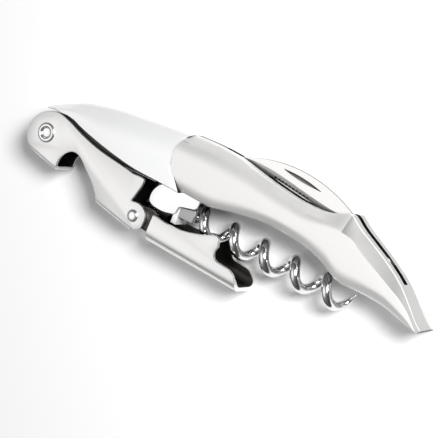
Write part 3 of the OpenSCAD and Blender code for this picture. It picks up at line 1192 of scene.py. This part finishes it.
@dataclass
class Rivets:
    """The visible rivets: each is the radius and height of its near head, from the axis outwards."""

    dished: tuple[Point, ...] = (
        (0, 4.62), (1.0, 4.64), (1.35, 4.7), (1.52, 4.84), (1.62, 5.1), (1.85, 5.24), (2.2, 5.24),
        (2.55, 5.12), (2.78, 4.92), (2.8, 4.8), (2.0, 4.7),
    )
    domed: tuple[Point, ...] = (
        (0, 5.4), (0.7, 5.38), (1.2, 5.26), (1.5, 5.1), (1.72, 4.85), (1.72, 4.8), (1.2, 4.75),
    )

    def build(self) -> None:
        """Makes the dished hinge rivet and the domed joint rivet."""
        for name, head, centre in (
            ("hinge_rivet", self.dished, SIDE.hinge),
            ("joint_rivet", self.domed, SIDE.joint),
        ):
            profile = [*head, *((r, -z) for r, z in reversed(head))]
            piece = Piece(name, Body.UPPER, Slot.RIVET, (name,))
            piece.add(spun(profile, centre), [RIVET.make()], 50)


# ---------------------------------------------------------------- worm


@dataclass
class Worm:
    """Worm, knuckle and collar, worked along the worm's own axis from its pivot.

    The knuckle and the boss are each given as a radius and a length.
    """

    coil: float = 2.95
    wire: float = 1.35
    pitch: float = 9.7
    turns: float = 4.85
    lean: float = 0.7
    shank_end: float = 6.1
    knuckle: Point = (1.9, 5.9)
    boss: Point = (2.1, 4.6)
    boss_middle: float = 3.3
    flange_half: float = 3.1
    flange: tuple[Point, ...] = ((3.7, -3.5), (5.3, -3.5), (5.3, 3.5), (3.7, 3.5))
    cheek: tuple[Point, ...] = ((4.5, -1.3), (9.8, -1.1), (9.8, 2.4), (4.5, 1.3))
    cheek_thick: float = 1.4
    steps: int = 44

    def place(self, bm: BMesh) -> BMesh:
        """Moves a mesh from the worm's axis to its folded place."""
        bm.transform(Matrix.Translation((*SIDE.worm, 0)) @ Matrix.Rotation(math.radians(self.lean), 4, "Z"))
        return bm

    def wire_mesh(self) -> BMesh:
        """The wire: shank, half a turn that leaves the axis, coil, and the ground point.

        Returns:
            Its closed mesh, on the worm's axis.
        """
        half = self.steps // 2
        path = [Vector((x, 0, 0)) for x in (3.4, 4.4, self.shank_end - 1.5, self.shank_end)]
        sides = [Vector((0, -1, 0))] * 4
        for i in range(1, half + 1):
            angle = math.pi * (i / half - 1)
            reach = self.coil * (1 - math.cos(math.pi * i / half)) / 2
            x = self.shank_end + self.pitch / 2 * i / half
            path.append(Vector((x, reach * math.cos(angle), reach * math.sin(angle))))
            sides.append(Vector((0, math.cos(angle), math.sin(angle))))
        for i in range(1, round(self.steps * self.turns) + 1):
            angle = math.tau * i / self.steps
            x = self.shank_end + self.pitch / 2 + self.pitch * angle / math.tau
            path.append(Vector((x, self.coil * math.cos(angle), self.coil * math.sin(angle))))
            sides.append(Vector((0, math.cos(angle), math.sin(angle))))
        count = len(path)
        radii = [self.wire * min(1.0, 0.16 + 2.2 * (count - 1 - i) / self.steps) for i in range(count)]
        return swept(path, sides, radii, 24)

    @staticmethod
    def cylinder(size: Point, facets: int, round_off: float) -> BMesh:
        """A cylinder along Z with rounded rims.

        Args:
            size: Its radius and length.
            facets: Facets round its axis.
            round_off: Width of the rounding.

        Returns:
            Its closed mesh.
        """
        bm = bmesh.new()
        radius, length = size
        bmesh.ops.create_cone(
            bm, cap_ends=True, segments=facets, radius1=radius, radius2=radius, depth=length,
        )
        bevel(bm, [e for e in bm.edges if e.calc_face_angle(0) > 0.6], round_off, 3)
        return bm

    def boss_mesh(self) -> BMesh:
        """The round boss that holds the shank.

        Returns:
            Its closed mesh, on the worm's axis.
        """
        bm = self.cylinder(self.boss, 48, 0.25)
        bmesh.ops.rotate(bm, verts=bm.verts, cent=(0, 0, 0), matrix=Matrix.Rotation(math.pi / 2, 3, "Y"))
        bmesh.ops.translate(bm, verts=bm.verts, vec=(self.boss_middle, 0, 0))
        return bm

    def build_hub(self) -> None:
        """Makes the knuckle that turns on the worm pin, with its boss."""
        piece = Piece("worm_hub", Body.SCREW, Slot.WIRE, ("worm_hub",))
        made = piece.add(self.place(self.cylinder(self.knuckle, 64, 0.3)), [KNUCKLE.make()], 40)
        weld(made, self.place(self.boss_mesh()))
        smooth(made, 40)

    def build_collar(self) -> None:
        """Makes the square flange round the boss, with the cheek beside the first turn."""
        piece = Piece("worm_collar", Body.SCREW, Slot.POLISHED, ("worm_collar",))
        flange = plate(self.flange, -self.flange_half, self.flange_half, 0.15)
        made = piece.add(self.place(flange), [SATIN.make(), KNUCKLE.make()], 40)
        near = self.flange_half - TOUCH
        weld(made, self.place(plate(self.cheek, self.flange_half - self.cheek_thick, near, 0.15)))
        front = SIDE.worm[0] + self.flange[1][0] + 0.05
        for face in made.data.polygons:
            face.material_index = int((face.center - SIDE.origin).x / MM > front)
        smooth(made, 40)

    def build(self) -> None:
        """Makes the worm's three pieces."""
        piece = Piece("worm", Body.SCREW, Slot.WIRE, ("worm",))
        piece.add(self.place(self.wire_mesh()), [CHROME.make()], 60)
        self.build_hub()
        self.build_collar()


# ---------------------------------------------------------------- knife


@dataclass
class Knife:
    """Serrated foil knife, ground to an edge along its lower side."""

    thick: float = 1.6
    edge_thick: float = 0.25
    teeth: int = 10
    first_tooth: Point = (10.4, 16.85)
    tooth_step: Point = (1.15, -0.105)
    tooth: float = 0.45
    tooth_floor: float = -0.1
    pin_hole: float = 1.16
    tang_from: float = 33.0
    stations: tuple[float, ...] = (-4.4, -3.6, -2.4, -1, 0.6, *(1.9 + 1.15 * i for i in range(29)))
    # The third and fourth finishes are painted shade: near-black in the teeth, a darker grey in the nail
    # nicks.
    finishes: tuple[Metal, ...] = (BLADE, BEVEL, SHADE_BLACK, NICK_SHADE)
    ground: Law = Law((
        (-4.6, 16.35), (-2, 17.2), (1.8, 18.2), (8.2, 18.4), (14.9, 17.8), (21.5, 17.0), (28, 16.4),
        (31, 16.4), (34, 16.6),
    ))
    nick_top: Law = Law(((11.6, 20.15), (16.0, 20.3), (20.2, 19.95), (24.0, 19.25)))
    nick_low: Law = Law(((11.6, 20.1), (13.6, 19.5), (17.0, 18.95), (20.6, 18.9), (24.0, 19.2)))
    nick_ends: Point = (11.6, 24.0)
    nick_depth: float = 0.5
    edge: Law = Law(((-4.6, 16.1), (-2.6, 15.8), (3, 16.5), (9.5, 16.6), (22, 15.5), (34, 13.6)))

    @staticmethod
    def spine(x: float) -> float:
        """Height of the knife's back: a straight clip at the point, then an arc.

        Args:
            x: The place along the knife.

        Returns:
            The height there.
        """
        if x < 1.9:
            return 16.4 + 2.36 * (x + 4.6) / 6.5
        return -18.2 + math.sqrt(1600 - (x - 17.2) ** 2)

    def section(self, x: float) -> list[Vector]:
        """One section: flat sides, then a ground bevel down to a thin edge.

        Args:
            x: Where it stands.

        Returns:
            Its points, all round.
        """
        half, thin = self.thick / 2, self.edge_thick / 2
        side = [(self.spine(x) - 0.12, half), (self.ground(x), half), (self.edge(x), thin)]
        points = [(self.spine(x), half - 0.12)] + side
        points += [(y, -z) for y, z in reversed(points)]
        return [Vector((x, y, z)) for y, z in points]

    def build(self) -> None:
        """Makes the blade, its tang, the teeth and the nail nicks."""
        bm = bmesh.new()
        loft(bm, [self.section(x) for x in self.stations])
        made = finished("knife_blade", bm)
        weld(made, plate(self.tang(), -self.thick / 2, self.thick / 2))
        bore(made, SIDE.knife, self.pin_hole, -2, 2)
        for i in range(self.teeth):
            x, y = (first + i * step for first, step in zip(self.first_tooth, self.tooth_step))
            cut(made, plate(arc((x, y), self.tooth, 0, 345, 23), self.tooth_floor, 2))
        for side in (-1, 1):
            cut(made, self.nick(side))
        for finish in self.finishes:
            made.data.materials.append(finish.make())
        self.dress(made)
        smooth(made, 9)
        Piece("knife_blade", Body.KNIFE, Slot.BLADE, ("knife_blade",)).enlist(made)

    def tang(self) -> list[Point]:
        """Side view of the tang, which turns on the knife pin."""
        heel = [(self.tang_from, 14.2), (self.tang_from, 18.0), (36, 15.9), (38.8, 12.8)]
        return heel + arc(SIDE.knife, 2.2, 88, -88, 16) + [(40.6, 9.4), (36.4, 13.2)]

    def nick(self, side: int) -> BMesh:
        """The lens-shaped hollow for a fingernail, which dips towards its straight upper edge.

        Args:
            side: 1 for the near face, -1 for the far face.

        Returns:
            The closed mesh to cut it with.
        """
        face, (start, stop), sections = self.thick / 2, self.nick_ends, []
        for i in range(25):
            x = start + (stop - start) * (0.02 + 0.96 * i / 24)
            high, low = self.nick_top(x), self.nick_low(x)
            floor = [(low + (high - low) * t / 5, face - self.nick_depth * (t / 5) ** 2) for t in range(6)]
            points = floor + [(high, face + 0.3), (low, face + 0.3)]
            sections.append([Vector((x, y, side * z)) for y, z in points])
        bm = bmesh.new()
        loft(bm, sections)
        return bm

    def dress(self, made: bpy.types.Object) -> None:
        """Gives the ground bevel its own finish, and paints shade into the teeth and the nail nicks.

        Args:
            made: The knife.
        """
        bevelled, black_shade, nick_shade = (self.finishes.index(metal) for metal in (BEVEL, SHADE_BLACK, NICK_SHADE))
        for face in made.data.polygons:
            middle = (face.center - SIDE.origin) / MM
            if middle.x > self.tang_from or middle.y > self.spine(middle.x) - 0.3:
                continue
            # Painted shade: tooth walls and tooth floors take the near-black material.
            if abs(face.normal.z) < 0.3 or abs(middle.z - self.tooth_floor) < TOUCH:
                face.material_index = black_shade
            # Painted shade: faces in the nail nicks take the darker grey; the ground bevel keeps its own
            # finish.
            elif abs(middle.z) < self.thick / 2 - TOUCH:
                face.material_index = nick_shade if middle.y > self.ground(middle.x) + 0.2 else bevelled


# ---------------------------------------------------------------- carried-over parts


@dataclass
class Carried:
    """CAD parts whose shape is right as it is: they only get their finish."""

    finishes: dict[Metal, tuple[str, ...]] = field(default_factory=lambda: {
        POLISHED: ("liner_rivets", "tail_block", "knife_pin", "worm_pin", "worm_washers"),
        SPRING: ("knife_spring", "joint_spring"),
        BRASS: ("knife_spacers", "hinge_washers", "joint_bush"),
    })

    def dress(self) -> None:
        """Paints each part."""
        for metal, names in self.finishes.items():
            material = metal.make()
            for name in names:
                for entry in frame["nodes"][name].material_slots:
                    entry.material = material
                log.info("%s: %s", name, metal.name)


# ---------------------------------------------------------------- studio


@dataclass
class Studio:
    """Pale floor, soft light and the camera."""

    turn: float = 26.0
    tilt: float = 28.2
    distance: float = 0.395
    lens: float = 123.29
    glow: Triple = (-0.425, -0.207, 0.881)
    sky_stops: tuple[Point, ...] = (
        (0.0, 0.05), (0.3, 0.08), (0.6, 0.12), (0.82, 0.22), (0.94, 0.85), (1.0, 1.0),
    )
    sky_strength: float = 1.2
    key_place: Triple = (0.324, 0.276, 0.42)
    key_size: float = 0.2
    key_power: float = 4.3
    floor_half: float = 3.0

    def rotation(self) -> Matrix:
        """The camera's rotation."""
        tilted = Matrix.Rotation(math.radians(self.tilt), 4, "Y")
        return Matrix.Rotation(math.radians(self.turn), 4, "Z") @ tilted

    def camera(self) -> None:
        """Adds the camera."""
        data = bpy.data.cameras.new("camera")
        data.lens = self.lens
        data.sensor_width = 36
        data.clip_start = 0.01
        made = bpy.data.objects.new("camera", data)
        spot = SIDE.origin + (self.rotation() @ Vector((0, 0, self.distance)))
        made.matrix_world = Matrix.Translation(spot) @ self.rotation()
        bpy.context.scene.collection.objects.link(made)
        bpy.context.scene.camera = made

    def key(self) -> None:
        """Adds the square soft light, which faces the corkscrew."""
        data = bpy.data.lights.new("key", "AREA")
        data.size = self.key_size
        data.energy = self.key_power
        made = bpy.data.objects.new("key", data)
        offset = Vector(self.key_place)
        facing = offset.to_track_quat("Z", "Y").to_matrix().to_4x4()
        made.matrix_world = Matrix.Translation(SIDE.origin + offset) @ facing
        bpy.context.scene.collection.objects.link(made)

    def floor(self) -> None:
        """Adds the floor."""
        bm = bmesh.new()
        bmesh.ops.create_grid(bm, x_segments=1, y_segments=1, size=self.floor_half)
        mesh = bpy.data.meshes.new("floor")
        bm.to_mesh(mesh)
        bm.free()
        made = bpy.data.objects.new("floor", mesh)
        bpy.context.scene.collection.objects.link(made)
        graph = Surface("floor")
        graph.set("Base Color", grey(0.97))
        graph.set("Roughness", 0.9)
        graph.set("Specular IOR Level", 0.1)
        made.data.materials.append(graph.material)

    def sky(self) -> None:
        """Lights the room: bright overhead and dimmer towards the horizon."""
        world = bpy.data.worlds.new("room")
        bpy.context.scene.world = world
        world.use_nodes = True
        graph = Graph(world.node_tree)
        where = graph.node("ShaderNodeTexCoord").out("Generated")
        facing = graph.node("ShaderNodeVectorMath", {"operation": "DOT_PRODUCT"}, {0: where, 1: self.glow})
        ramp = graph.node("ShaderNodeValToRGB", {"stops": self.sky_stops}, {0: facing.value("Value")})
        back = graph.node("ShaderNodeBackground", {}, {"Color": ramp.out(0), "Strength": self.sky_strength})
        graph.node("ShaderNodeOutputWorld", {}, {"Surface": back.out(0)})

    def build(self) -> None:
        """Sets everything up."""
        self.camera()
        self.floor()
        self.sky()
        self.key()
        bpy.context.scene.view_settings.view_transform = "Standard"


def main() -> None:
    """Builds the corkscrew and its studio."""
    logging.basicConfig(level=logging.INFO, format="%(name)s: %(message)s")
    Bolster(seam=Seam()).build()
    Grip(seam=Seam(gap=0.14)).build()
    Liners().build()
    UpperLever().build()
    LowerLever().build()
    Rivets().build()
    Worm().build()
    Knife().build()
    Carried().dress()
    Studio().build()


if __name__ == "__main__":
    main()
